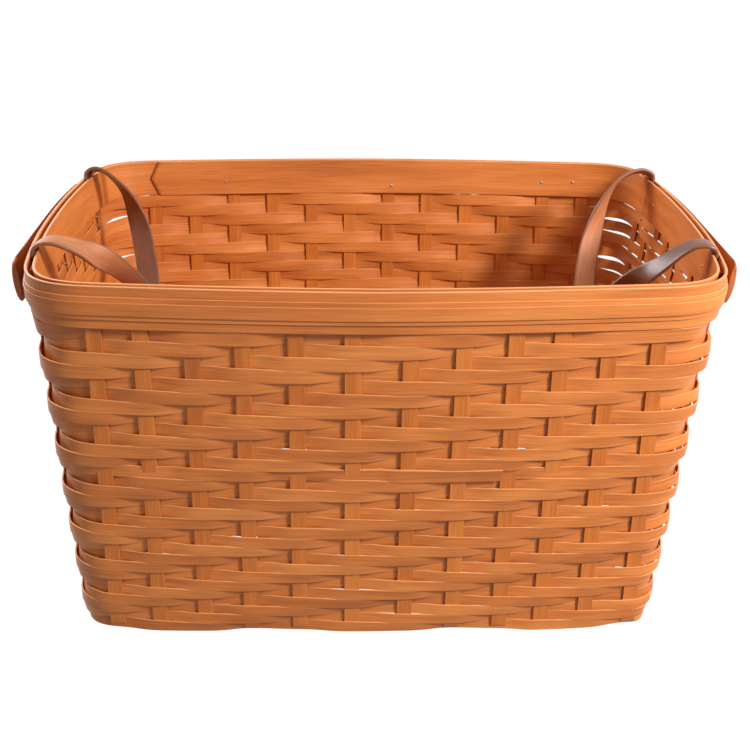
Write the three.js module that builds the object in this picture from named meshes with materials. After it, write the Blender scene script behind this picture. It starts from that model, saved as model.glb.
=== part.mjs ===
import * as THREE from 'three';

// A twill-woven splint basket with a banded rim, two side rails and two leather strap handles.
// Millimetres: X along the length, -Y the front, Z up, the basket stands on Z = 0.

// Middle surface of the wall: its plan at the rim and at the base, and the rim's top edge.
// The right wall leans out more than the left one, so the base is shifted to the left.
const rimLength = 570;
const rimDepth = 420;
const rimHeight = 318;
const baseLength = 502;
const baseDepth = 366;
const baseShift = -5;

// The sides bow out: each plan is |x/a|^along + |y/b|^across = 1.
const rimBow = { along: 3.2, across: 8.9 };
const baseBow = { along: 6, across: 12 };

// Splints run up one wall, across the base and up the opposite wall.
const splintWidth = 12.7;
const splintThickness = 1.3;
const crossSplintCount = 12;
const crossSplintPitch = 40.5;
const longSplintCount = 10;
const longSplintPitch = 32;
const splintBend = 4;
const splintSetback = 5;
const cornerShare = 1 / 3;

// Weavers go round the wall, over two splints and under two, one row above the other.
const weaverRows = 30;
const weaverThickness = 1;
const lowestRowShare = 0.72;
const twillPeriod = 4;

// The rim: two bands with the splint ends between them, and two trims on the outer band.
const bandHeight = 35;
const bandThickness = 2.4;
const bandSlot = 4;
const wideTrimHeight = 19.2;
const narrowTrimHeight = 10.8;
const trimThickness = 1.2;
const bandSteps = 40;

// Half-oval rails on the outside of the two short ends.
const railLength = 250;
const railHeight = 37;
const railThickness = 8;
const railEdge = 2;
const railDrop = 3;
const railEnd = 6;
const railEndShare = 0.85;
const railSteps = 8;

// Leather straps, clamped in the rim's slot at both ends and hanging into the basket.
const strapWidth = 20;
const strapThickness = 3;
const strapTip = 1;
const strapSpread = 118;
const strapTwist = { start: 0.15, end: 0.9 };
const strapSteps = 24;

// Way of each strap from its rear end to its front end: [inward, along, rise] from the slot's mouth.
const leftStrapWay = [
  [0, strapSpread, 0], [1, strapSpread, 4], [7, 118, 7.5], [16, 117, 7.5], [39, 110, -11],
  [54, 96, -38], [63, 72, -70], [67, 38, -92], [68, 2, -95], [68, -34, -75], [66, -64, -43],
  [53, -90, -16], [38, -107, 1], [16, -117, 9], [7, -118, 8], [1, -strapSpread, 4], [0, -strapSpread, 0],
];
const rightStrapWay = [
  [0, strapSpread, 0], [1, strapSpread, 4], [7, 119, 7.5], [17, 119, 8], [40, 114, 1],
  [60, 105, -17], [76, 86, -53], [82, 62, -84], [83, 28, -104], [80, -10, -101], [74, -46, -74],
  [63, -75, -40], [42, -97, -12], [18, -115, 7], [7, -118, 7.5], [1, -strapSpread, 4], [0, -strapSpread, 0],
];

const clearance = 0.3;
const weaveRoom = 0.95;
const layerGap = 0.15;
const rowGap = 0.4;

const wood = 0xc97a3d;
const darkWood = 0xb5672f;
const leather = 0x7a4a30;

const rimPlan = { half: new THREE.Vector2(rimLength / 2, rimDepth / 2), bow: rimBow, shift: 0 };
const basePlan = { half: new THREE.Vector2(baseLength / 2, baseDepth / 2), bow: baseBow, shift: baseShift };
const downwards = new THREE.Vector3(0, 0, -1);
const alongX = new THREE.Vector3(1, 0, 0);
const alongY = new THREE.Vector3(0, 1, 0);

const group = new THREE.Group();
group.name = 'toy_basket';

function addPiece(name, geometry, color, roughness) {
  const material = new THREE.MeshStandardMaterial({ color, roughness });
  const mesh = new THREE.Mesh(geometry, material);
  mesh.name = name;
  group.add(mesh);
}

function numbered(name, index) {
  return `${name}_${String(index + 1).padStart(2, '0')}`;
}

// A solid through a row of sections that all have the same number of points.
function loft(sections, closed) {
  const size = sections[0].length;
  const indices = [];
  const spans = closed ? sections.length : sections.length - 1;
  for (let i = 0; i < spans; i += 1) {
    const here = i * size;
    const next = ((i + 1) % sections.length) * size;
    for (let s = 0; s < size; s += 1) {
      const t = (s + 1) % size;
      indices.push(here + s, here + t, next + s, here + t, next + t, next + s);
    }
  }
  if (!closed) {
    const last = (sections.length - 1) * size;
    for (let s = 1; s < size - 1; s += 1) {
      indices.push(0, s + 1, s, last, last + s, last + s + 1);
    }
  }
  const geometry = new THREE.BufferGeometry().setFromPoints(sections.flat());
  geometry.setIndex(indices);
  geometry.computeVertexNormals();
  return geometry;
}

// The four corners of a strip's section: across its thickness and along its width.
function stripSection(middle, across, thickness, along, width) {
  const corner = (a, b) => middle.clone()
    .addScaledVector(across, (a * thickness) / 2)
    .addScaledVector(along, (b * width) / 2);
  return [corner(1, 1), corner(1, -1), corner(-1, -1), corner(-1, 1)];
}

function planPoint({ half, bow, shift }, face, along) {
  const isLong = face === 'front' || face === 'back';
  if (isLong) {
    const y = half.y * (1 - Math.abs((along - shift) / half.x) ** bow.along) ** (1 / bow.across);
    return new THREE.Vector2(along, face === 'back' ? y : -y);
  }
  const x = half.x * (1 - Math.abs(along / half.y) ** bow.across) ** (1 / bow.along);
  return new THREE.Vector2(shift + (face === 'right' ? x : -x), along);
}

function planAngle({ half, bow, shift }, point) {
  const x = point.x - shift;
  const c = Math.abs(x / half.x) ** (bow.along / 2) * Math.sign(x);
  const s = Math.abs(point.y / half.y) ** (bow.across / 2) * Math.sign(point.y);
  return Math.atan2(s, c);
}

function planAtAngle({ half, bow, shift }, angle) {
  const c = Math.cos(angle);
  const s = Math.sin(angle);
  return new THREE.Vector2(
    shift + half.x * Math.sign(c) * Math.abs(c) ** (2 / bow.along),
    half.y * Math.sign(s) * Math.abs(s) ** (2 / bow.across),
  );
}

function planNormal({ half, bow, shift }, point) {
  const x = point.x - shift;
  return new THREE.Vector2(
    (bow.along * Math.sign(x) * Math.abs(x / half.x) ** (bow.along - 1)) / half.x,
    (bow.across * Math.sign(point.y) * Math.abs(point.y / half.y) ** (bow.across - 1)) / half.y,
  ).normalize();
}

// A station is a straight line up the wall, from a point of the base plan to one of the rim plan.
function makeStation(base, rim) {
  const foot = new THREE.Vector3(base.x, base.y, 0);
  const head = new THREE.Vector3(rim.x, rim.y, rimHeight);
  const footNormal = planNormal(basePlan, base);
  const headNormal = planNormal(rimPlan, rim);
  return { base, rim, foot, head, footNormal, headNormal };
}

function faceStation(face, along) {
  return makeStation(planPoint(basePlan, face, along), planPoint(rimPlan, face, along));
}

// A splint stands flat against the wall. The last ones before a corner stay in line with their neighbour.
function uprightStation(face, along, count, pitch) {
  const station = faceStation(face, along);
  const isLast = Math.abs(along) > ((count - 2) / 2) * pitch;
  if (!isLast) return station;
  const nearer = faceStation(face, along - Math.sign(along) * pitch * cornerShare);
  return { ...station, footNormal: nearer.footNormal, headNormal: nearer.headNormal };
}

function cornerStation(before, after) {
  const between = (plan, a, b) => planAtAngle(plan, (planAngle(plan, a) + planAngle(plan, b)) / 2);
  return makeStation(between(basePlan, before.base, after.base), between(rimPlan, before.rim, after.rim));
}

function wallFrame(station, height) {
  const share = height / rimHeight;
  const point = station.foot.clone().lerp(station.head, share);
  const up = station.head.clone().sub(station.foot).normalize();
  const flat = station.footNormal.clone().lerp(station.headNormal, share);
  const out = new THREE.Vector3(flat.x, flat.y, 0);
  out.addScaledVector(up, -out.dot(up)).normalize();
  return { point, up, out };
}

function wallSection(station, height, offset, thickness, width, shift = 0) {
  const { point, up, out } = wallFrame(station, height);
  const sideways = up.clone().cross(out);
  point.addScaledVector(out, offset).addScaledVector(sideways, shift);
  return stripSection(point, out, thickness, up, width);
}

function splintPlace(index, count, pitch) {
  return (index - (count - 1) / 2) * pitch;
}

// Cross splints lie straight at the base's middle level; long splints pass over and under them.
const passLift = splintThickness + clearance;
const baseLevel = passLift + splintThickness / 2;
const baseTop = baseLevel + passLift + splintThickness / 2;
const wallStart = baseLevel + splintBend;

function wallEnd(station, along) {
  return [rimHeight - splintSetback, wallStart].map((height) => {
    const { point, up, out } = wallFrame(station, height);
    const sideways = up.cross(out);
    sideways.multiplyScalar(Math.sign(sideways.dot(along)));
    return stripSection(point, out, splintThickness, sideways, splintWidth);
  });
}

function baseSection(x, y, level, along) {
  return stripSection(new THREE.Vector3(x, y, level), downwards, splintThickness, along, splintWidth);
}

const crossPlaces = Array.from({ length: crossSplintCount },
  (_, i) => splintPlace(i, crossSplintCount, crossSplintPitch));
const longPlaces = Array.from({ length: longSplintCount },
  (_, i) => splintPlace(i, longSplintCount, longSplintPitch));

crossPlaces.forEach((x, index) => {
  const front = uprightStation('front', x, crossSplintCount, crossSplintPitch);
  const back = uprightStation('back', x, crossSplintCount, crossSplintPitch);
  const sections = [
    ...wallEnd(front, alongX),
    baseSection(x, front.base.y + splintBend, baseLevel, alongX),
    baseSection(x, back.base.y - splintBend, baseLevel, alongX),
    ...wallEnd(back, alongX).reverse(),
  ];
  addPiece(numbered('cross_splint', index), loft(sections, false), wood, 0.6);
});

longPlaces.forEach((y, row) => {
  const left = uprightStation('left', y, longSplintCount, longSplintPitch);
  const right = uprightStation('right', y, longSplintCount, longSplintPitch);
  const along = alongY.clone().negate();
  const passEdge = splintWidth / 2 + clearance;
  const passesOver = (column) => (column + row + twillPeriod) % twillPeriod < twillPeriod / 2;
  const level = (column) => baseLevel + (passesOver(column) ? passLift : -passLift);
  const sections = [
    ...wallEnd(left, along),
    baseSection(left.base.x + splintBend, y, baseLevel, along),
  ];
  crossPlaces.forEach((x, column) => {
    const entersPass = column === 0 || passesOver(column) !== passesOver(column - 1);
    const leavesPass = column === crossSplintCount - 1 || passesOver(column) !== passesOver(column + 1);
    if (entersPass) sections.push(baseSection(x - passEdge, y, level(column), along));
    if (leavesPass) sections.push(baseSection(x + passEdge, y, level(column), along));
  });
  sections.push(baseSection(right.base.x - splintBend, y, baseLevel, along));
  sections.push(...wallEnd(right, along).reverse());
  addPiece(numbered('long_splint', row), loft(sections, false), wood, 0.6);
});

// The uprights in order round the wall, as seen from above: front, right, back, left.
function faceUprights(face, places, count, pitch) {
  return places.map((along) => ({ face, station: uprightStation(face, along, count, pitch) }));
}

const uprights = [
  ...faceUprights('front', crossPlaces, crossSplintCount, crossSplintPitch),
  ...faceUprights('right', longPlaces, longSplintCount, longSplintPitch),
  ...faceUprights('back', [...crossPlaces].reverse(), crossSplintCount, crossSplintPitch),
  ...faceUprights('left', [...longPlaces].reverse(), longSplintCount, longSplintPitch),
];

// A weaver runs straight from upright to upright, and its stand-off leaves room at their edges.
const closestPitch = Math.min(crossSplintPitch, longSplintPitch);
const weaverStandOff = ((splintThickness + weaverThickness) / 2 + weaveRoom)
  / (1 - splintWidth / closestPitch);

function weaverSections(height, width, isInside) {
  const sections = [];
  const standOff = (index) => (isInside(index) ? -weaverStandOff : weaverStandOff);
  uprights.forEach(({ face, station }, index) => {
    const previous = (index + uprights.length - 1) % uprights.length;
    const next = (index + 1) % uprights.length;
    const startsFace = uprights[previous].face !== face;
    const endsFace = uprights[next].face !== face;
    const shift = (endsFace - startsFace) * splintWidth * cornerShare;
    sections.push(wallSection(station, height, standOff(index), weaverThickness, width, shift));
    if (endsFace) {
      const corner = cornerStation(station, uprights[next].station);
      const offset = (standOff(index) + standOff(next)) / 2;
      sections.push(wallSection(corner, height, offset, weaverThickness, width));
    }
  });
  return sections;
}

// Rows get narrower towards the base and together fill the wall below the bands.
const wovenBottom = Math.max(wallStart, baseTop + clearance);
const wovenTop = rimHeight - bandHeight - rowGap;
const meanRow = (wovenTop - wovenBottom) / weaverRows;
const lowestRow = (2 * meanRow * lowestRowShare) / (1 + lowestRowShare);
const rowGrowth = (2 * (meanRow - lowestRow)) / (weaverRows - 1);
let rowFoot = wovenBottom;
for (let row = 0; row < weaverRows; row += 1) {
  const rowHeight = lowestRow + rowGrowth * row;
  const rowFromTop = weaverRows - row;
  const isInside = (index) => (index + 1 + rowFromTop) % twillPeriod >= twillPeriod / 2;
  const sections = weaverSections(rowFoot + rowHeight / 2, rowHeight - rowGap, isInside);
  addPiece(numbered('weaver_row', row), loft(sections, true), wood, 0.6);
  rowFoot += rowHeight;
}

function rimHoop(height, innerOffset, thickness, width) {
  const sections = [];
  for (let step = 0; step < bandSteps; step += 1) {
    const angle = (2 * Math.PI * (step + 0.5)) / bandSteps;
    const station = makeStation(planAtAngle(basePlan, angle), planAtAngle(rimPlan, angle));
    sections.push(wallSection(station, height, innerOffset + thickness / 2, thickness, width));
  }
  return loft(sections, true);
}

const bandMiddle = rimHeight - bandHeight / 2;
const bandFace = bandSlot / 2 + bandThickness;
const wideTrimFace = bandFace + layerGap + trimThickness;
const narrowTrimFace = wideTrimFace + layerGap + trimThickness;
addPiece('inner_rim_band', rimHoop(bandMiddle, -bandFace, bandThickness, bandHeight), wood, 0.5);
addPiece('outer_rim_band', rimHoop(bandMiddle, bandSlot / 2, bandThickness, bandHeight), wood, 0.5);
addPiece('wide_rim_trim', rimHoop(bandMiddle, bandFace + layerGap, trimThickness, wideTrimHeight), wood, 0.5);
addPiece('narrow_rim_trim',
  rimHoop(bandMiddle, wideTrimFace + layerGap, trimThickness, narrowTrimHeight), wood, 0.5);

function sideRail(face, sense) {
  const middle = wallFrame(faceStation(face, 0), rimHeight - railDrop - railHeight / 2);
  middle.point.addScaledVector(middle.out, narrowTrimFace + clearance);
  const section = (place, share) => {
    const at = (across, rise) => middle.point.clone()
      .addScaledVector(middle.out, across * share)
      .addScaledVector(middle.up, rise * share)
      .addScaledVector(alongY, place * sense);
    const points = [at(0, railHeight / 2)];
    for (let step = 0; step <= railSteps; step += 1) {
      const angle = Math.PI / 2 - (Math.PI * step) / railSteps;
      const across = railEdge + (railThickness - railEdge) * Math.cos(angle);
      points.push(at(across, (railHeight / 2) * Math.sin(angle)));
    }
    points.push(at(0, -railHeight / 2));
    return points;
  };
  const half = railLength / 2;
  return loft([
    section(-half, railEndShare), section(-half + railEnd, 1),
    section(half - railEnd, 1), section(half, railEndShare),
  ], false);
}

addPiece('left_side_rail', sideRail('left', -1), darkWood, 0.5);
addPiece('right_side_rail', sideRail('right', 1), darkWood, 0.5);

// The strap is twisted: its width lies along the rim at both ends and across the basket at the bottom.
function strap(way, sense) {
  const root = new THREE.Vector3(sense * planPoint(rimPlan, 'right', strapSpread).x, 0, rimHeight);
  const points = way.map(([inward, along, rise]) => new THREE.Vector3(-sense * inward, along, rise).add(root));
  const curve = new THREE.CatmullRomCurve3(points);
  const tip = strapThickness / 2 / curve.getLength();
  const places = [0];
  for (let step = 0; step <= strapSteps; step += 1) places.push(tip + (1 - 2 * tip) * (step / strapSteps));
  places.push(1);
  const atRear = new THREE.Vector3(0, sense, 0);
  const atBottom = new THREE.Vector3(-sense, 0, 0);
  const atFront = new THREE.Vector3(0, -sense, 0);
  const sections = places.map((place) => {
    const tangent = curve.getTangentAt(place);
    const share = THREE.MathUtils.smoothstep(Math.abs(2 * place - 1), strapTwist.start, strapTwist.end);
    const along = atBottom.clone().lerp(place < 0.5 ? atRear : atFront, share);
    along.addScaledVector(tangent, -along.dot(tangent)).normalize();
    const across = tangent.clone().cross(along);
    const thickness = place === 0 || place === 1 ? strapTip : strapThickness;
    return stripSection(curve.getPointAt(place), across, thickness, along, strapWidth);
  });
  return loft(sections, false);
}

addPiece('left_handle', strap(leftStrapWay, -1), leather, 0.45);
addPiece('right_handle', strap(rightStrapWay, 1), leather, 0.45);

export default group;
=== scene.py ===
import math

import bmesh
import bpy
from mathutils import Matrix, Vector, noise


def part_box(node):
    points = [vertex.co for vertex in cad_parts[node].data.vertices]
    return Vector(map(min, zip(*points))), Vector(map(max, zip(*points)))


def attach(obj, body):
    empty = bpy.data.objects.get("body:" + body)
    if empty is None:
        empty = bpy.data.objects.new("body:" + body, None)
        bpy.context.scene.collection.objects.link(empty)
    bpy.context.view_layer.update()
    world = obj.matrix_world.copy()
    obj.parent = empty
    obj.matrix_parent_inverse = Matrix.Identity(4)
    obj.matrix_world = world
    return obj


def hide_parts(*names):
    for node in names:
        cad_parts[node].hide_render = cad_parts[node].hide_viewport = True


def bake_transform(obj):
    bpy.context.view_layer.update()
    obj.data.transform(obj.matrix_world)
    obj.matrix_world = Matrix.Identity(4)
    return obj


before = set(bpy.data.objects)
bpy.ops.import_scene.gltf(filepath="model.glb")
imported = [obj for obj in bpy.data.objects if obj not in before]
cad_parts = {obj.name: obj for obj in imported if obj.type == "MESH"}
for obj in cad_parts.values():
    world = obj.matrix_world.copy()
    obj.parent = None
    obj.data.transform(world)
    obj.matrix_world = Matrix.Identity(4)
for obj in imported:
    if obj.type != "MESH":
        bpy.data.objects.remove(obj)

# A twill-woven splint basket with a banded rim, side rails and leather strap handles
# metres: X along the length, -Y the front, Z up

mm = 0.001
white = (1, 1, 1, 1)
sharpAngle = math.radians(50)
joinReach = 0.001 * mm
scene = bpy.context.scene
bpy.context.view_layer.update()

# the wall's middle surface: its plan at the rim and at the base, four bowed faces with round corners
wall = {
    "rim": {"half": (285 * mm, 210 * mm), "bow": (13.5 * mm, 8.7 * mm), "power": (1.6, 2.2), "shift": 0},
    "base": {"half": (249 * mm, 186 * mm), "bow": (7 * mm, 2.4 * mm), "power": (4, 3), "shift": -6 * mm},
    "reach": (222.75 * mm, 144 * mm),   # how far from the middle the bow is measured
    "cornerPull": 0.72,                 # 1 would be a sharp corner
    "height": 318 * mm,
    "frontUprights": 12,
    "frontPitch": 40.5 * mm,
    "frontStray": (2, -2, -3, -4.5, -3.5, 0, 4.5, 5, 5, 0.5, -2, -3),   # mm from an even spacing
    "sideUprights": 10,
    "sidePitch": 32 * mm,
    "faceSteps": 8,      # ring points from upright to upright
    "cornerSteps": 24,   # and round a corner
}


def planPoint(plan, face, along):
    axis = 0 if face in ("front", "back") else 1
    sense = 1 if face in ("right", "back") else -1
    fromMiddle = abs(along - (plan["shift"] if axis == 0 else 0))
    bow = plan["bow"][axis] * (fromMiddle / wall["reach"][axis]) ** plan["power"][axis]
    away = sense * (plan["half"][1 - axis] - bow)
    return Vector((along, away)) if axis == 0 else Vector((plan["shift"] + away, along))


# the direction round the wall, anticlockwise from above
def planWay(plan, face, along):
    step = mm if face in ("front", "right") else -mm
    return (planPoint(plan, face, along + step) - planPoint(plan, face, along - step)).normalized()


# even places along a face, about its middle
def spacing(index, count, pitch):
    return (index - (count - 1) / 2) * pitch


def facePlaces(face, count, pitch, sense):
    return [(face, sense * spacing(i, count, pitch)) for i in range(count)]


# the uprights in order round the wall, anticlockwise from above
uprights = (
    [(face, x + stray * mm) for (face, x), stray in zip(
        facePlaces("front", wall["frontUprights"], wall["frontPitch"], 1), wall["frontStray"])]
    + facePlaces("right", wall["sideUprights"], wall["sidePitch"], 1)
    + facePlaces("back", wall["frontUprights"], wall["frontPitch"], -1)
    + facePlaces("left", wall["sideUprights"], wall["sidePitch"], -1)
)
columns = len(uprights)


# one plan's point and direction, a share of the way from an upright to the next
def planBetween(plan, index, share):
    (face, along), (nextFace, nextAlong) = uprights[index], uprights[(index + 1) % columns]
    if face == nextFace:
        here = along + (nextAlong - along) * share
        return planPoint(plan, face, here), planWay(plan, face, here)
    start, end = planPoint(plan, face, along), planPoint(plan, nextFace, nextAlong)
    startWay, endWay = planWay(plan, face, along), planWay(plan, nextFace, nextAlong)
    pull = wall["cornerPull"] / startWay.cross(endWay)
    startPull = start + startWay * (end - start).cross(endWay) * pull
    endPull = end - endWay * startWay.cross(end - start) * pull
    a, b, c = start.lerp(startPull, share), startPull.lerp(endPull, share), endPull.lerp(end, share)
    before, after = a.lerp(b, share), b.lerp(c, share)
    return before.lerp(after, share), (after - before).normalized()


def makeStation(base, rim, column=0, corner=0):
    return {
        "column": column,   # counts uprights, and lies between two of them
        "corner": corner,   # 1 at the middle of a corner, 0 on a face
        "base": base[0],
        "rim": rim[0],
        "baseOut": Vector((base[1].y, -base[1].x)),
        "rimOut": Vector((rim[1].y, -rim[1].x)),
    }


def faceStation(face, along):
    plans = wall["base"], wall["rim"]
    return makeStation(*[(planPoint(plan, face, along), planWay(plan, face, along)) for plan in plans])


# a point of the wall's middle surface, with its outward and its upward direction
def wallPlace(station, height):
    share = height / wall["height"]
    flat = station["base"].lerp(station["rim"], share)
    up = Vector((*(station["rim"] - station["base"]), wall["height"])).normalized()
    out = Vector((*station["baseOut"].lerp(station["rimOut"], share), 0))
    out = (out - up * out.dot(up)).normalized()
    return Vector((*flat, height)), out, up


def spanStations(index):
    turns = uprights[index][0] != uprights[(index + 1) % columns][0]
    count = wall["cornerSteps"] if turns else wall["faceSteps"]
    found = []
    for step in range(count):
        share = step / count
        corner = math.sin(math.pi * share) ** 2 if turns else 0
        places = [planBetween(wall[key], index, share) for key in ("base", "rim")]
        found.append(makeStation(*places, index + share, corner))
    return found


spans = [spanStations(index) for index in range(columns)]


# the stations from one upright round to another, with extra ones past the last
def ringRun(first, last, extra=0):
    run = []
    for column in range(first, last):
        turn = columns * (column // columns)
        run += [dict(station, column=station["column"] + turn) for station in spans[column % columns]]
    turn = columns * (last // columns)
    run += [dict(station, column=station["column"] + turn) for station in spans[last % columns][:extra + 1]]
    return run


def smooth(x):
    x = min(1, max(0, x))
    return x * x * (3 - 2 * x)


def nodesNamed(start):
    return sorted(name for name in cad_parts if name.startswith(start))


# wood: the grain runs along each piece's own UV map, in metres
grain = {
    "fine": {"scale": (22, 900, 1), "detail": 5, "roughness": 0.62},
    "broad": {"scale": (7, 75, 1), "detail": 3, "roughness": 0.5},
    "tint": {"scale": (2.2, 9, 1), "detail": 2, "roughness": 0.5},
    "pores": {"scale": (9, 1600, 1), "detail": 2, "roughness": 0.5},
    "fineShare": 0.35,
    "broadShare": 0.35,
    "tintShare": 0.3,
    "tones": (0.36, 0.5, 0.64),             # where dark, mid and light lie
    "poreStops": [(0.30, (0.5, 0.5, 0.5)), (0.40, (0, 0, 0))],
    "poreTint": (0.62, 0.5, 0.42, 1),
    # the tint of painted shade: dark lines and a dark end on the inner rim band
    "creaseTint": (0.42, 0.3, 0.22, 1),
    "bump": {"Strength": 0.3, "Distance": 0.4 * mm},
    "dull": (0.34, 0.55),                   # roughness
    "specular": 0.4,
}
# edge: the colour of a painted highlight along a strip's upper edge
woodLooks = {
    "weaver": {"dark": (0.38, 0.096, 0.015), "mid": (0.61, 0.172, 0.031), "light": (0.77, 0.27, 0.062),
               "edge": (0.95, 0.52, 0.22)},
    "splint": {"dark": (0.38, 0.085, 0.010), "mid": (0.57, 0.150, 0.019), "light": (0.70, 0.22, 0.036),
               "edge": (0.85, 0.38, 0.12)},
    "rim": {"dark": (0.43, 0.110, 0.018), "mid": (0.63, 0.182, 0.034), "light": (0.77, 0.27, 0.062),
            "edge": (0.95, 0.50, 0.20)},
    "rail": {"dark": (0.27, 0.060, 0.009), "mid": (0.40, 0.100, 0.016), "light": (0.52, 0.16, 0.032),
             "edge": (0.60, 0.22, 0.06)},
}


# builds the nodes of a material or of the world
class NodeMaker:
    def __init__(self, owner):
        owner.use_nodes = True
        self.owner = owner
        self.nodes = owner.node_tree.nodes
        self.links = owner.node_tree.links
        self.nodes.clear()

    def add(self, kind, settings=None, **inputs):
        node = self.nodes.new(kind)
        for key, value in (settings or {}).items():
            setattr(node, key, value)
        for key, value in inputs.items():
            self.plug(node, key.replace("_", " "), value)
        return node

    def plug(self, node, key, value):
        socket = node.inputs[key]
        if isinstance(value, bpy.types.NodeSocket):
            self.links.new(value, socket)
        else:
            socket.default_value = value

    def math(self, operation, *values):
        node = self.add("ShaderNodeMath", {"operation": operation})
        for index, value in enumerate(values):
            self.plug(node, index, value)
        return node.outputs[0]

    def noise(self, vector, settings):
        way = self.add("ShaderNodeMapping", Vector=vector, Scale=settings["scale"]).outputs["Vector"]
        made = self.add(
            "ShaderNodeTexNoise",
            Vector=way,
            Scale=1,
            Detail=settings["detail"],
            Roughness=settings["roughness"],
        )
        return made.outputs["Fac"]

    def ramp(self, value, stops):
        node = self.add("ShaderNodeValToRGB", Fac=value)
        elements = node.color_ramp.elements
        while len(elements) < len(stops):
            elements.new(0.5)
        for element, (place, color) in zip(elements, stops):
            element.position = place
            element.color = (*color, 1)
        return node.outputs["Color"]

    def mix(self, kind, factor, a, b):
        node = self.add("ShaderNodeMix", {"data_type": "RGBA", "blend_type": kind})
        self.plug(node, 0, factor)
        self.plug(node, 6, a)
        self.plug(node, 7, b)
        return node.outputs[2]

    def range(self, value, low, high):
        node = self.add("ShaderNodeMapRange", Value=value)
        self.plug(node, "To Min", low)
        self.plug(node, "To Max", high)
        return node.outputs["Result"]

    def finish(self, surface, output="ShaderNodeOutputMaterial"):
        self.add(output, Surface=surface)
        return self.owner


def newMaterial(name):
    return NodeMaker(bpy.data.materials.new(name))


def makeWood(name, look):
    make = newMaterial(name)
    uv = make.add("ShaderNodeUVMap", {"uv_map": "grain"}).outputs["UV"]
    fine = make.noise(uv, grain["fine"])
    broad = make.noise(uv, grain["broad"])
    tint = make.noise(uv, grain["tint"])
    tone = make.math("MULTIPLY", fine, grain["fineShare"])
    tone = make.math("MULTIPLY_ADD", broad, grain["broadShare"], tone)
    tone = make.math("MULTIPLY_ADD", tint, grain["tintShare"], tone)
    color = make.ramp(tone, list(zip(grain["tones"], (look["dark"], look["mid"], look["light"]))))
    # long dark pores, painted shade from the shade attribute, and a painted highlight along the pale upper
    # edge of a strip
    poreShare = make.ramp(make.noise(uv, grain["pores"]), grain["poreStops"])
    color = make.mix("MULTIPLY", poreShare, color, grain["poreTint"])
    paintedShade = make.add("ShaderNodeAttribute", {"attribute_name": "shade"}).outputs["Fac"]
    color = make.mix("MULTIPLY", paintedShade, color, grain["creaseTint"])
    pale = make.add("ShaderNodeAttribute", {"attribute_name": "pale"}).outputs["Fac"]
    color = make.mix("MIX", pale, color, (*look["edge"], 1))
    bump = make.add("ShaderNodeBump", Height=fine, **grain["bump"])
    shader = make.add(
        "ShaderNodeBsdfPrincipled",
        Base_Color=color,
        Roughness=make.range(fine, *grain["dull"]),
        Normal=bump.outputs["Normal"],
        Specular_IOR_Level=grain["specular"],
    )
    return make.finish(shader.outputs["BSDF"])


woods = {key: makeWood(key + "Wood", look) for key, look in woodLooks.items()}
print("materials: wood made")


def linkPiece(name, bm, material):
    mesh = bpy.data.meshes.new(name)
    bm.to_mesh(mesh)
    bm.free()
    piece = bpy.data.objects.new(name, mesh)
    scene.collection.objects.link(piece)
    mesh.materials.append(material)
    return piece


def camelName(node):
    words = node.split("_")
    return words[0] + "".join(word.capitalize() for word in words[1:])


def dress(piece, node):
    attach(piece, "basket")
    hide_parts(node)


# a strip is a grid laid along its way: place(step, share) gives a point, share across from -0.5 to 0.5
def makeStrip(name, settings, steps, place, grainPlace, material, thin=None, shade=None):
    bm = bmesh.new()
    inset = 0.5 - settings["paleEdge"]
    shares = (-0.5, -inset, 0, inset, 0.5)
    across = len(shares) - 1
    bmesh.ops.create_grid(bm, x_segments=steps, y_segments=across, size=0.5)
    uvLayer = bm.loops.layers.uv.new("grain")
    shadeLayer = bm.verts.layers.float.new("shade")
    highlightLayer = bm.verts.layers.float.new("pale")
    thinLayer = bm.verts.layers.deform.verify()
    gridPlace = {}
    for vert in bm.verts:
        step, column = round((vert.co.x + 0.5) * steps), round((vert.co.y + 0.5) * across)
        gridPlace[vert] = (step, shares[column])
    for face in bm.faces:
        face.smooth = True
        for loop in face.loops:
            loop[uvLayer].uv = grainPlace(*gridPlace[loop.vert])
    for vert, (step, share) in gridPlace.items():
        vert.co = place(step, share)
        # painted shade where shade(step) gives it
        vert[shadeLayer] = shade(step) if shade else 0
        # a painted highlight along the upper edge only
        vert[highlightLayer] = settings["pale"] if share == 0.5 else 0
        vert[thinLayer][0] = thin(step) if thin else 1
    piece = linkPiece(name, bm, material)
    piece.vertex_groups.new(name="thin")
    shell = piece.modifiers.new("thickness", "SOLIDIFY")
    shell.thickness = settings["thickness"]
    shell.offset = 0
    shell.use_even_offset = True
    shell.vertex_group = "thin"
    edge = piece.modifiers.new("edges", "BEVEL")
    edge.width = settings["edge"]
    edge.segments = 2
    edge.limit_method = "ANGLE"
    edge.angle_limit = sharpAngle
    edge.harden_normals = True
    return piece


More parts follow.
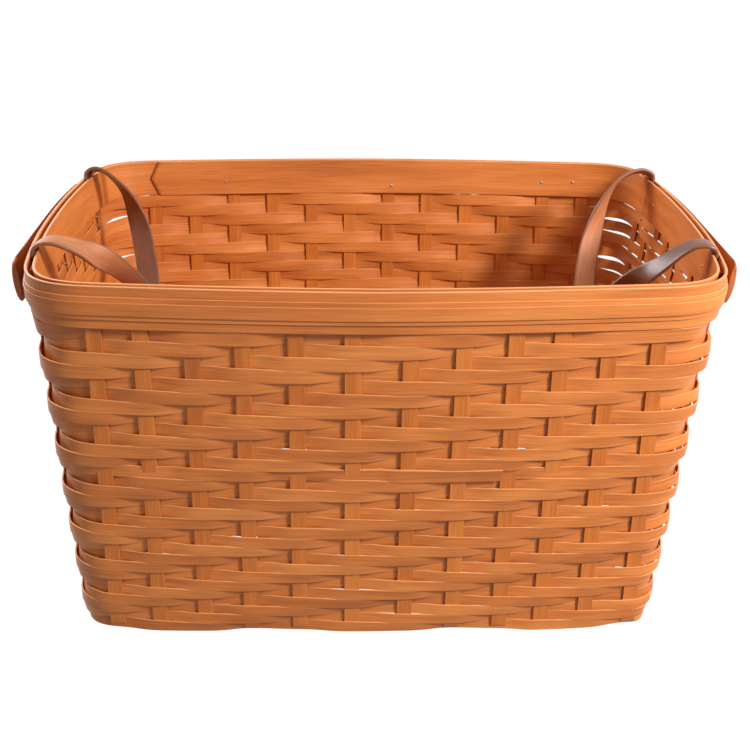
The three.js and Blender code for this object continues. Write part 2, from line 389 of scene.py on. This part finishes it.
# weavers: over two uprights and under two, each row one upright further left than the row above
weaver = {
    "standOff": 2.3 * mm,    # from the wall's middle at the middle of a float
    "lean": 0.7 * mm,        # the edge next to a hidden row tucks in
    "sway": 0.35 * mm,       # rows give way where two lie side by side
    "hang": 0.2 * mm,        # floats outside hang lower than the passes inside
    "footHang": 0.5 * mm,    # most of all at the base
    "footDrop": 4.4 * mm,    # where the lowest rows lie lower altogether
    "footReach": 5,
    "footFlat": 0.35,        # and wave less
    "floorGap": 0.8 * mm,    # the lowest row is narrower where the floor is in its way
    "cornerGap": 2.0 * mm,   # rows part at the corners
    "cornerDrop": 3 * mm,    # the top rows sag at the front left corner
    "dropReach": 6,
    "cornerTurn": 0.44,      # shifts the rows' parting against their wave
    "cornerBulge": 4 * mm,   # floats stand off the corners, most of all the top rows
    "overlap": 0.55 * mm,    # wider than the strip of the CAD
    "wobble": 0.7 * mm,
    "wobbleScale": 14,
    "wobbleStride": 5.3,     # from row to row
    "wobbleWidth": 0.03,
    "loose": 0.15,           # strips are narrower on the right side
    "tight": 0.15,           # and wider on the left
    "lap": 3,                # uprights that the two ends share
    "lapStart": 13,          # laps lie past the front, from this upright on
    "lapStride": 11,         # from row to row
    "lapRoom": 27,           # uprights over which they spread
    "lapTurn": 0.6,          # uprights over which the layers part
    "lapLift": 0.55,         # of the thickness
    "frontLap": {"row": 17, "column": 7, "extra": 7, "hold": 0.5},   # this end isn't tucked in
    "grainStride": (3.7, 0.31),
    "thickness": 1.2 * mm,
    "edge": 0.15 * mm,
    "pale": 0.5,             # painted highlight on its upper edge
    "paleEdge": 0.05,        # and how far that reaches
}
rowNodes = nodesNamed("weaver_row_")
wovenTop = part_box(rowNodes[-1])[1].z
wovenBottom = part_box(rowNodes[0])[0].z


# a cosine with flatter crests and troughs
def flattened(c):
    return c * (1.5 - 0.5 * c * c)


def lapColumn(row, rowFromTop):
    if row == weaver["frontLap"]["row"]:
        return weaver["frontLap"]["column"]
    column = weaver["lapStart"] + weaver["lapStride"] * row % weaver["lapRoom"]
    while (column + 1 + rowFromTop) % 4 < 2:   # the end goes behind an upright
        column += 1
    return column


def makeWeaver(node, row):
    rowFromTop = len(rowNodes) - row
    low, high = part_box(node)
    height = (low.z + high.z) / 2
    width = high.z - low.z + weaver["overlap"]
    depth = (wovenTop - height) / (wovenTop - wovenBottom)
    hang = weaver["hang"] + weaver["footHang"] * depth ** weaver["footReach"]
    drop = weaver["footDrop"] * depth ** weaver["footReach"]
    standOff = weaver["standOff"] * (1 - weaver["footFlat"] * depth ** weaver["footReach"])
    width += drop * weaver["footReach"] / len(rowNodes)
    first = lapColumn(row, rowFromTop) - weaver["lap"]
    front = weaver["frontLap"]
    run = ringRun(first, first + columns + weaver["lap"], front["extra"] if row == front["row"] else 0)
    last = run[-1]["column"]

    # the two layers of the lap lie on each other
    def lapShift(column):
        under = smooth((first + weaver["lap"] - column) / weaver["lapTurn"])
        over = smooth((column - last + weaver["lap"]) / weaver["lapTurn"])
        return (over - under) * weaver["thickness"] * weaver["lapLift"]

    def place(step, share):
        station = run[step]
        phase = math.pi / 2 * (station["column"] + 0.5 + rowFromTop)
        point, out, up = wallPlace(station, height)
        flat = point * weaver["wobbleScale"]
        drift = noise.noise(Vector((flat.x, flat.y, rowFromTop * weaver["wobbleStride"])))
        side = flattened(flattened(math.cos(phase)))   # 1 outside, -1 inside
        if row == front["row"]:
            side = max(side, smooth(2 - (last - station["column"]) / front["hold"]))
        offset = standOff * side + lapShift(station["column"])
        offset += 2 * weaver["lean"] * share * math.sin(phase)
        offset += weaver["cornerBulge"] * (1 - depth) * station["corner"] * max(0, side)
        fill = 1 + weaver["wobbleWidth"] * drift
        fill += weaver["tight"] * max(0, -out.x) - weaver["loose"] * max(0, out.x)
        middle = weaver["wobble"] * drift - weaver["sway"] * math.sin(2 * phase)
        middle -= hang * (1 + side) / 2 + drop
        middle += weaver["cornerGap"] * station["corner"] * math.cos(phase + weaver["cornerTurn"])
        if out.x < 0 and out.y < 0:
            middle -= weaver["cornerDrop"] * station["corner"] * (1 - depth) ** weaver["dropReach"]
        top = middle + width * fill / 2
        bottom = max(middle - width * fill / 2, (weaver["floorGap"] - point.z) / up.z)
        return point + out * offset + up * (bottom + (top - bottom) * (share + 0.5))

    def grainPlace(step, share):
        along, across = (rowFromTop * stride for stride in weaver["grainStride"])
        return (along + run[step]["column"] * wall["frontPitch"], across + share * width)

    piece = makeStrip("weaver" + node[-2:], weaver, len(run) - 1, place, grainPlace, woods["weaver"])
    dress(piece, node)


for row, node in enumerate(rowNodes):
    makeWeaver(node, row)
print("weavers:", len(rowNodes), "rows")

# splints: up one wall, across the base and up the opposite wall
splint = {
    "width": 12.7 * mm,
    "thickness": 1.2 * mm,
    "edge": 0.3 * mm,
    "setback": 5 * mm,       # below the rim's top
    "bend": 5 * mm,
    "baseLevel": 2.25 * mm,
    "passLift": 1.6 * mm,
    "passGain": 1.12,        # flattens the crests of the base's wave
    "passEnd": 8 * mm,       # where the wave runs out
    "stray": 0.5 * mm,       # an upright isn't quite straight
    "strayScale": (40, 9),   # along the face and up it
    "grainStride": (2.9, 0.37),
    "grainStart": 20,
    "longGrain": 40,         # the long splints' first row of grain
    "wallSteps": 30,
    "bendSteps": 6,
    "baseSteps": 96,
    "pale": 0,
    "paleEdge": 0.1,
}


# places along a splint, each a point and the direction of the splint's width
def splintWay(near, far, widthWay, baseLift):
    top = wall["height"] - splint["setback"]

    def wallSide(side, along):
        station = faceStation(side, along)
        found = []
        for step in range(splint["wallSteps"] + 1):
            height = top + (splint["baseLevel"] + splint["bend"] - top) * step / splint["wallSteps"]
            point, out, up = wallPlace(station, height)
            sideways = up.cross(out)
            sideways *= math.copysign(1, sideways.dot(widthWay))
            alongScale, upScale = splint["strayScale"]
            spot = Vector((along * alongScale, height * upScale, len(side)))
            point += sideways * splint["stray"] * noise.noise(spot)
            found.append((point, sideways))
        return found, wallPlace(station, splint["baseLevel"])[0]

    nearWay, nearCorner = wallSide(*near)
    farWay, farCorner = wallSide(*far)
    inward = (farCorner - nearCorner).normalized()
    nearFoot = nearCorner + inward * splint["bend"]
    farFoot = farCorner - inward * splint["bend"]

    def bend(start, corner, end):
        found = []
        for step in range(1, splint["bendSteps"] + 1):
            t = step / splint["bendSteps"]
            point = start[0].lerp(corner, t).lerp(corner.lerp(end, t), t)
            found.append((point, start[1].lerp(widthWay, t).normalized()))
        return found

    way = nearWay + bend(nearWay[-1], nearCorner, nearFoot)
    for step in range(1, splint["baseSteps"]):
        point = nearFoot.lerp(farFoot, step / splint["baseSteps"])
        point.z = splint["baseLevel"] + baseLift(point)
        way.append((point, widthWay))
    return way + list(reversed(bend(farWay[-1], farCorner, farFoot))) + list(reversed(farWay))


def makeSplint(node, way, grainRow):
    lengths = [0]
    for (a, _), (b, _) in zip(way, way[1:]):
        lengths.append(lengths[-1] + (b - a).length)

    def place(step, share):
        return way[step][0] + way[step][1] * share * splint["width"]

    def grainPlace(step, share):
        along, across = (grainRow * stride for stride in splint["grainStride"])
        return (lengths[step] + along, splint["grainStart"] + across + share * splint["width"])

    piece = makeStrip(camelName(node), splint, len(way) - 1, place, grainPlace, woods["splint"])
    dress(piece, node)


for index, node in enumerate(nodesNamed("cross_splint_")):
    x = spacing(index, wall["frontUprights"], wall["frontPitch"])
    way = splintWay(uprights[index], ("back", x), Vector((1, 0, 0)), lambda point: 0)
    makeSplint(node, way, index)

# the long splints pass over two cross splints and under two
for row, node in enumerate(nodesNamed("long_splint_")):
    y = spacing(row, wall["sideUprights"], wall["sidePitch"])

    def baseLift(point):
        column = point.x / wall["frontPitch"] + (wall["frontUprights"] - 1) / 2
        lift = splint["passGain"] * flattened(math.cos(math.pi / 2 * (column + row - 0.5)))
        room = wall["frontUprights"] / 2 * wall["frontPitch"] - abs(point.x)
        inner = min(1, max(0, room / splint["passEnd"]))
        return splint["passLift"] * max(-1, min(1, lift)) * inner

    way = splintWay(("left", y), ("right", y), Vector((0, 1, 0)), baseLift)
    makeSplint(node, way, splint["longGrain"] + row)
print("splints made")

# the rim: two bands with the splint ends between them, and two trims on the outer band
rim = {
    "bandHeight": 35 * mm,
    "lap": 3,                # uprights that the two ends share
    "cutTurn": 0.2,          # uprights over which an end gets thinner
    "pointReach": 0.6,       # and over which it comes to a point
    # a painted highlight along each hoop's upper edge, and how far it reaches
    "pale": 0.35,
    "paleEdge": 0.03,
    "creases": ((33.86, 0.8), (41.0, 0.5), (20.2, 0.8), (13.2, 0.6)),   # column and darkness of painted shade lines
    "creaseReach": 0.12,
    "grainStride": (5.1, 0.4),
    "grainStart": 40,
    # a hoop's offset is from the wall's middle, and its start counts uprights
    "hoops": {
        "inner_rim_band": {"offset": -3.2 * mm, "height": 35 * mm, "thickness": 2.4 * mm, "edge": 0.5 * mm,
                           "start": 30, "extra": 1, "proud": 0.7 * mm, "point": 8.5 * mm},
        "outer_rim_band": {"offset": 3.2 * mm, "height": 35 * mm, "thickness": 2.4 * mm, "edge": 0.5 * mm,
                           "start": 24, "extra": 0, "proud": 0, "point": 0},
        "wide_rim_trim": {"offset": 5.15 * mm, "height": 19.2 * mm, "thickness": 1.2 * mm, "edge": 0.25 * mm,
                          "start": 27, "extra": 0, "proud": 0, "point": 0},
        "narrow_rim_trim": {"offset": 6.5 * mm, "height": 10.8 * mm, "thickness": 1.2 * mm, "edge": 0.25 * mm,
                            "start": 22, "extra": 0, "proud": 0, "point": 0},
    },
}


def makeHoop(node, grainRow):
    hoop = rim["hoops"][node]
    middle = wall["height"] - rim["bandHeight"] / 2
    run = ringRun(hoop["start"], hoop["start"] + columns + rim["lap"], hoop["extra"])
    first, last = run[0]["column"], run[-1]["column"]
    bared = math.copysign(1, hoop["offset"])    # the side that shows

    # each end is cut to half the thickness, the upper one lies over the lower one
    def layers(step):
        column = run[step]["column"]
        turn = rim["cutTurn"]
        under = smooth((first + rim["lap"] + turn - column) / turn)
        over = smooth((column - last + rim["lap"] + turn) / turn)
        rising = over * smooth((column - last + rim["lap"]) / rim["lap"])
        return under, over, rising * hoop["proud"]

    def place(step, share):
        point, out, up = wallPlace(run[step], middle)
        under, over, proud = layers(step)
        offset = hoop["offset"] + bared * ((over - under) * hoop["thickness"] / 4 + proud / 2)
        ahead = up.cross(out)
        tip = smooth(1 - (last - run[step]["column"]) / rim["pointReach"])
        ahead *= -abs(2 * share) * hoop["point"] * tip
        return point + out * offset + up * share * hoop["height"] + ahead

    def thin(step):
        under, over, proud = layers(step)
        return 1 - (under + over) / 2 + proud / hoop["thickness"]

    # painted shade: dark lines on the inner band at the listed columns
    def shade(step):
        if node != "inner_rim_band":
            return 0
        # painted shadow along the band's cut end
        if step == len(run) - 1:
            return 1
        column = run[step]["column"] % columns
        return max(dark * smooth(1 - abs(column - at) / rim["creaseReach"]) for at, dark in rim["creases"])

    def grainPlace(step, share):
        along, across = (grainRow * stride for stride in rim["grainStride"])
        along += run[step]["column"] * wall["frontPitch"]
        return (along, rim["grainStart"] + across + share * hoop["height"])

    settings = {**hoop, "pale": rim["pale"], "paleEdge": rim["paleEdge"]}
    piece = makeStrip(camelName(node), settings, len(run) - 1, place, grainPlace, woods["rim"], thin, shade)
    dress(piece, node)


for index, node in enumerate(rim["hoops"]):
    makeHoop(node, index)
print("rim made")


# a tube is a grid whose two sides meet: place(step, k) gives the point, k round the section
def makeTube(name, steps, around, place, grainPlace, material):
    bm = bmesh.new()
    bmesh.ops.create_grid(bm, x_segments=steps, y_segments=around, size=0.5)
    uvLayer = bm.loops.layers.uv.new("grain")
    gridPlace = {}
    for vert in bm.verts:
        gridPlace[vert] = (round((vert.co.x + 0.5) * steps), round((vert.co.y + 0.5) * around))
    for face in bm.faces:
        face.smooth = True
        for loop in face.loops:
            loop[uvLayer].uv = grainPlace(*gridPlace[loop.vert])
    for vert, spot in gridPlace.items():
        vert.co = place(*spot)
    bmesh.ops.remove_doubles(bm, verts=bm.verts, dist=joinReach)
    bmesh.ops.holes_fill(bm, edges=[edge for edge in bm.edges if edge.is_boundary], sides=0)
    bmesh.ops.recalc_face_normals(bm, faces=bm.faces)
    piece = linkPiece(name, bm, material)
    piece.data.set_sharp_from_angle(angle=sharpAngle)
    return piece


# half-oval rails on the outside of the two short ends
rail = {
    "length": 254 * mm,
    "height": 37 * mm,
    "thickness": 6.8 * mm,
    "edge": 2 * mm,
    "drop": 3 * mm,
    "standOff": 7.4 * mm,
    "endRound": 12 * mm,
    "endHeight": 0.8,      # of the full height, at the very end
    "endThickness": 0.6,
    "steps": 60,
    "ovalSteps": 20,
    "backSteps": 4,
    "grainStride": (7, 0.4),
    "grainStart": 60,
    "grainStep": 2.4 * mm,
}


def makeRail(node, face, grainRow):
    middle = wall["height"] - rail["drop"] - rail["height"] / 2
    point, out, up = wallPlace(faceStation(face, 0), middle)
    point += out * rail["standOff"]
    around = rail["ovalSteps"] + rail["backSteps"]

    def section(k):
        if k <= rail["ovalSteps"]:
            angle = math.pi / 2 - math.pi * k / rail["ovalSteps"]
            across = rail["edge"] + (rail["thickness"] - rail["edge"]) * math.cos(angle)
            return across, rail["height"] / 2 * math.sin(angle)
        if k == around:
            return section(0)
        share = (k - rail["ovalSteps"]) / rail["backSteps"]
        return 0, rail["height"] * (share - 0.5)

    def along(step):
        return rail["length"] * (-math.cos(math.pi * step / rail["steps"]) / 2)

    def place(step, k):
        across, rise = section(k)
        y = along(step)
        left = rail["length"] / 2 - abs(y)
        rounding = math.sqrt(max(0, 1 - (1 - min(1, left / rail["endRound"])) ** 2))
        rise *= rail["endHeight"] + (1 - rail["endHeight"]) * rounding
        across *= rail["endThickness"] + (1 - rail["endThickness"]) * rounding
        # the rear half follows the rim
        bend = planPoint(wall["rim"], face, y).x - planPoint(wall["rim"], face, 0).x if y > 0 else 0
        return point + out * across + up * rise + Vector((bend, y, 0))

    def grainPlace(step, k):
        far, across = (grainRow * stride for stride in rail["grainStride"])
        return (along(step) + far, rail["grainStart"] + across + rail["grainStep"] * k)

    piece = makeTube(camelName(node), rail["steps"], around, place, grainPlace, woods["rail"])
    dress(piece, node)


makeRail("left_side_rail", "left", 0)
makeRail("right_side_rail", "right", 1)
print("rails made")

# leather straps: way from the rear end to the front end, (inward, along, rise) from the slot's mouth in mm
strap = {
    "width": 20 * mm,
    "thickness": 3 * mm,
    "edge": 1.1 * mm,
    "cup": 0.5 * mm,         # the edges curl a little towards one side
    "cupLevel": 0.4,
    "slotPlace": 120 * mm,   # along the side, for the depth of the slot between the bands
    "tuck": 4 * mm,          # length clamped in the slot
    "bendReach": 8 * mm,
    "rearTilt": 0.4,         # the rear end's near edge stands higher
    "curveSteps": 24,        # from one point of the way to the next
    "steps": 140,
    "faceSteps": 10,
    "edgeSteps": 4,
    "left": {
        "grainStart": 0,
        "rearTwist": (0.35, 1.0),    # shares of the way from the middle to the end
        "frontTwist": (0.25, 1.1),
        "way": (
            (0, 130, 0), (1, 130, 4), (7, 130, 7.5), (16, 128, 6.5), (36, 120, -10), (51, 104, -37),
            (61, 78, -69), (68, 42, -90), (73, 5, -92), (75, -28, -74), (70, -58, -45), (56, -84, -20),
            (38, -102, -2.5), (16, -112, 8.5), (7, -113, 8), (1, -113, 4), (0, -113, 0),
        ),
    },
    "right": {
        "grainStart": 2,
        "rearTwist": (0.25, 0.95),
        "frontTwist": (0.2, 0.95),
        "way": (
            (0, 131, 0), (1, 131, 4), (7, 131, 7.5), (16, 130, 8), (34, 122, 1), (49, 110, -17),
            (64, 89, -53), (72, 63, -84), (77, 28, -102), (79, -10, -95), (76, -44, -70), (61, -74, -42.5),
            (40, -95, -17), (18, -109, 5.5), (7, -112, 7.5), (1, -112, 4), (0, -112, 0),
        ),
    },
}
leatherLook = {
    "tanSide": (0.53, 0.192, 0.068),
    "darkSide": (0.18, 0.046, 0.011),
    "cutEdge": (0.24, 0.085, 0.035),
    "tanDull": 0.55,     # roughness
    "darkDull": 0.25,
    "dullStops": ((0.45, "tanDull"), (0.5, "darkDull"), (0.99, "darkDull"), (1.0, "tanDull")),
    "cutReach": 0.035,   # shares of the way round the section
    "sideReach": 0.07,
    "clouds": {"scale": (28, 60, 1), "detail": 4, "roughness": 0.6},
    "cloudTints": [(0.3, (0.74, 0.7, 0.66)), (0.7, (1.12, 1.14, 1.16))],
    "cloudDull": 0.1,
    "cloudHeight": 0.6,
    "streaks": {"scale": (30, 420, 1), "detail": 3, "roughness": 0.6},
    "streakTints": [(0.3, (0.8, 0.76, 0.72)), (0.7, (1.1, 1.1, 1.1))],
    "streakShare": 0.5,
    "pebbleScale": 900,
    "bump": {"Strength": 0.22, "Distance": 0.3 * mm},
    "specular": 0.45,
}


# a smooth curve through the points, as short pieces
def smoothWay(points, pieces):
    ends = [points[0] * 2 - points[1]] + points + [points[-1] * 2 - points[-2]]
    found = []
    for a, b, c, d in zip(ends, ends[1:], ends[2:], ends[3:]):
        before, here, after = [(q - p).length ** 0.5 for p, q in ((a, b), (b, c), (c, d))]
        out = ((b - a) / before - (c - a) / (before + here) + (c - b) / here) * here
        back = ((c - b) / here - (d - b) / (here + after) + (d - c) / after) * here
        for piece in range(pieces):
            t = piece / pieces
            rest = (c - b) * 3 - out * 2 - back
            found.append(b + out * t + rest * t ** 2 + ((b - c) * 2 + out + back) * t ** 3)
    return found + [points[-1]]


def evenWay(points, steps):
    lengths = [0]
    for a, b in zip(points, points[1:]):
        lengths.append(lengths[-1] + (b - a).length)
    found, at = [], 0
    for step in range(steps + 1):
        want = lengths[-1] * step / steps
        while at < len(points) - 2 and lengths[at + 1] < want:
            at += 1
        share = (want - lengths[at]) / (lengths[at + 1] - lengths[at])
        found.append(points[at].lerp(points[at + 1], share))
    return found, lengths[-1]


# the section of a strap: across its thickness and along its width, round from the middle of one edge
def strapSection():
    halfWidth, halfThick = strap["width"] / 2, strap["thickness"] / 2
    flatWidth, flatThick = halfWidth - strap["edge"], halfThick - strap["edge"]
    points = [Vector((0, -halfWidth))]

    def corner(acrossSense, alongSense, fromAngle, toAngle):
        for step in range(strap["edgeSteps"] + 1):
            angle = math.radians(fromAngle + (toAngle - fromAngle) * step / strap["edgeSteps"])
            middle = Vector((acrossSense * flatThick, alongSense * flatWidth))
            points.append(middle + strap["edge"] * Vector((math.cos(angle), math.sin(angle))))

    def side(acrossSense, alongSense):
        for step in range(1, strap["faceSteps"]):
            along = alongSense * flatWidth * (1 - 2 * step / strap["faceSteps"])
            points.append(Vector((acrossSense * halfThick, along)))

    corner(-1, -1, 270, 180)
    side(-1, -1)
    corner(-1, 1, 180, 90)
    points.append(Vector((0, halfWidth)))
    corner(1, 1, 90, 0)
    side(1, 1)
    corner(1, -1, 360, 270)
    points.append(points[0].copy())
    girths = [0]
    for a, b in zip(points, points[1:]):
        girths.append(girths[-1] + (b - a).length)
    return points, girths


# one side of the leather is tan and the other dark, with a cut edge between them
def makeLeather():
    look = leatherLook
    make = newMaterial("strapLeather")
    uv = make.add("ShaderNodeUVMap", {"uv_map": "grain"}).outputs["UV"]
    girth = strapSection()[1][-1]
    across = make.add("ShaderNodeSeparateXYZ", Vector=uv).outputs["Y"]
    share = make.math("DIVIDE", across, girth)

    def sideStops(start, end, color):
        cut, side = look["cutReach"], look["sideReach"]
        edge = look["cutEdge"]
        return [(start + cut, edge), (start + side, color), (end - side, color), (end - cut, edge)]

    color = make.ramp(share, sideStops(0, 0.5, look["tanSide"]) + sideStops(0.5, 1, look["darkSide"]))
    dull = make.ramp(share, [(place, (look[key],) * 3) for place, key in look["dullStops"]])
    clouds = make.noise(uv, look["clouds"])
    color = make.mix("MULTIPLY", 1, color, make.ramp(clouds, look["cloudTints"]))
    streaks = make.ramp(make.noise(uv, look["streaks"]), look["streakTints"])
    color = make.mix("MULTIPLY", look["streakShare"], color, streaks)
    pebbles = make.add("ShaderNodeTexVoronoi", Vector=uv, Scale=look["pebbleScale"]).outputs["Distance"]
    height = make.math("MULTIPLY_ADD", clouds, look["cloudHeight"], pebbles)
    bump = make.add("ShaderNodeBump", Height=height, **look["bump"])
    shader = make.add(
        "ShaderNodeBsdfPrincipled",
        Base_Color=color,
        Roughness=make.math("MULTIPLY_ADD", clouds, look["cloudDull"], dull),
        Normal=bump.outputs["Normal"],
        Specular_IOR_Level=look["specular"],
    )
    return make.finish(shader.outputs["BSDF"])


leather = makeLeather()


def makeStrap(node, side, sense):
    shape = strap[side]
    root = Vector((planPoint(wall["rim"], side, strap["slotPlace"]).x, 0, wall["height"]))
    tuck = strap["tuck"]
    points = [root + Vector((-sense * inward, along, rise)) * mm for inward, along, rise in shape["way"]]
    drop = Vector((0, 0, tuck))
    curve = smoothWay([points[0] - drop, *points, points[-1] - drop], strap["curveSteps"])
    spots, length = evenWay(curve, strap["steps"])
    section, girths = strapSection()
    rear = Vector((0, sense, -sense * strap["rearTilt"])).normalized()
    bottom, front = Vector((1, 0, 0)), Vector((0, -sense, 0))

    # the direction of the strap's width: along the rim at both ends, across the basket at the bottom
    def frameAt(step):
        before, after = spots[max(0, step - 1)], spots[min(strap["steps"], step + 1)]
        tangent = (after - before).normalized()
        share = (length * step / strap["steps"] - tuck) / (length - 2 * tuck)
        turn = abs(2 * min(1, max(0, share)) - 1)
        start, end = shape["rearTwist"] if share < 0.5 else shape["frontTwist"]
        along = bottom.lerp(rear if share < 0.5 else front, smooth((turn - start) / (end - start)))
        along = (along - tangent * along.dot(tangent)).normalized()
        return along, tangent.cross(along)

    frames = [frameAt(step) for step in range(strap["steps"] + 1)]

    def place(step, k):
        along, across = frames[step]
        thick, wide = section[k]
        curl = strap["cup"] * ((2 * wide / strap["width"]) ** 2 - strap["cupLevel"])
        return spots[step] + across * (thick + curl) + along * wide

    # the right strap is turned over
    def grainPlace(step, k):
        along = shape["grainStart"] + length * step / strap["steps"]
        return (along, girths[k] if side == "left" else girths[-1] - girths[k])

    piece = makeTube(camelName(node), strap["steps"], len(section) - 1, place, grainPlace, leather)
    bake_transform(piece)
    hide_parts(node)


makeStrap("left_handle", "left", -1)
makeStrap("right_handle", "right", 1)
print("straps made")

# tacks and clinched nail points on the inside of the rim: face, place along it and height in mm
tack = {
    "radius": 1.5 * mm,
    "flatness": 0.45,
    "segments": (12, 8),
    "bandFace": -4.4 * mm,
    "weaveFace": -3.6 * mm,
    "rust": {"scale": (700, 700, 700), "detail": 3, "roughness": 0.6},
    "tones": [(0.35, (0.10, 0.07, 0.05)), (0.65, (0.55, 0.47, 0.38))],
    "metal": 0.9,
    "dull": (0.5, 0.3),      # roughness
    "onBand": (("back", 23, 291), ("back", 180, 297), ("back", 212, 298), ("back", -150, 296),
               ("right", 96, 300), ("right", -96, 300), ("front", -180, 297), ("front", 60, 297)),
    "onWeave": (("left", 124, 279), ("left", 133, 276), ("left", 127, 270), ("left", -12, 274),
                ("left", -4, 272), ("right", 124, 278), ("right", 0, 274), ("right", -122, 279)),
}


def makeSteel():
    make = newMaterial("tackSteel")
    place = make.add("ShaderNodeTexCoord").outputs["Object"]
    spots = make.noise(place, tack["rust"])
    shader = make.add(
        "ShaderNodeBsdfPrincipled",
        Base_Color=make.ramp(spots, tack["tones"]),
        Metallic=tack["metal"],
        Roughness=make.range(spots, *tack["dull"]),
    )
    return make.finish(shader.outputs["BSDF"])


def makeTacks():
    bm = bmesh.new()
    around, rings = tack["segments"]
    marks = [(*spot, tack["bandFace"]) for spot in tack["onBand"]]
    marks += [(*spot, tack["weaveFace"]) for spot in tack["onWeave"]]
    for face, along, height, depth in marks:
        point, out, up = wallPlace(faceStation(face, along * mm), height * mm)
        turn = Matrix((up.cross(out), up, out)).transposed().to_4x4()
        scale = Matrix.Diagonal((1, 1, tack["flatness"], 1))
        spot = Matrix.Translation(point + out * depth) @ turn @ scale
        size = tack["radius"]
        bmesh.ops.create_uvsphere(bm, u_segments=around, v_segments=rings, radius=size, matrix=spot)
    for face in bm.faces:
        face.smooth = True
    piece = linkPiece("rimTacks", bm, makeSteel())
    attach(piece, "basket")


makeTacks()
print("tacks made")

# stage, light and camera
stage = {
    "floorSize": 6,
    "floorColor": (0.24, 0.24, 0.24, 1),   # for the light that it throws back
    "whiteShare": 0.9,                     # what is seen is nearly plain white
    "whiteStrength": 1.12,
}


# 1 where the camera sees a surface, straight or by reflection, and 0 for its light
def seenShare(make):
    path = make.add("ShaderNodeLightPath")
    shiny = make.math("MAXIMUM", path.outputs["Is Glossy Ray"], path.outputs["Is Transmission Ray"])
    return make.math("MAXIMUM", path.outputs["Is Camera Ray"], shiny)


def makeFloor():
    make = newMaterial("paleFloor")
    pale = make.add("ShaderNodeBsdfDiffuse", Color=stage["floorColor"])
    glow = make.add("ShaderNodeEmission", Color=white, Strength=stage["whiteStrength"])
    share = make.math("MULTIPLY", seenShare(make), stage["whiteShare"])
    surface = make.add("ShaderNodeMixShader", Fac=share)
    make.plug(surface, 1, pale.outputs["BSDF"])
    make.plug(surface, 2, glow.outputs["Emission"])
    bm = bmesh.new()
    bmesh.ops.create_grid(bm, x_segments=1, y_segments=1, size=stage["floorSize"])
    linkPiece("floor", bm, make.finish(surface.outputs["Shader"]))


makeFloor()

light = {
    "key": {"place": (1.15, -0.95, 1.1), "size": 0.35, "watts": 38, "color": (0.96, 1, 1.1)},
    "fill": {"place": (-1.0, 0.8, 0.95), "size": 0.8, "watts": 18, "color": (1, 1, 1)},
    "aim": (0, 0, 0.2),
    "world": 0.37,
}


def makeLamp(name, lamp):
    data = bpy.data.lights.new(name, "AREA")
    data.energy = lamp["watts"]
    data.color = lamp["color"]
    data.size = lamp["size"]
    made = bpy.data.objects.new(name, data)
    made.location = lamp["place"]
    made.rotation_euler = (Vector(light["aim"]) - made.location).to_track_quat("-Z", "Y").to_euler()
    scene.collection.objects.link(made)


makeLamp("key", light["key"])
makeLamp("fill", light["fill"])


def makeWorld():
    scene.world = bpy.data.worlds.new("studio")
    make = NodeMaker(scene.world)
    strength = make.range(seenShare(make), light["world"], 1)
    background = make.add("ShaderNodeBackground", Color=white, Strength=strength)
    make.finish(background.outputs["Background"], "ShaderNodeOutputWorld")


makeWorld()

# the camera stands a little to the left and turns right, tilted by about half a degree
view = {
    "place": (-28.8 * mm, -1150.6 * mm, 643.6 * mm),
    "turn": -1.566,        # degrees
    "down": 22.75,
    "roll": 0.64,
    "focalPixels": 1320,
    "imagePixels": 750,
    "sensorWidth": 36,     # mm, as the lens below
}
cameraData = bpy.data.cameras.new("camera")
cameraData.sensor_width = view["sensorWidth"]
cameraData.lens = view["focalPixels"] / view["imagePixels"] * cameraData.sensor_width
camera = bpy.data.objects.new("camera", cameraData)
camera.location = view["place"]
turned = Matrix.Rotation(math.radians(view["turn"]), 3, "Z")
tilted = Matrix.Rotation(math.radians(90 - view["down"]), 3, "X")
rolled = Matrix.Rotation(math.radians(view["roll"]), 3, "Z")
camera.rotation_euler = (turned @ tilted @ rolled).to_euler()
scene.collection.objects.link(camera)
scene.camera = camera
scene.view_settings.view_transform = "Standard"
print("stage, light and camera set")
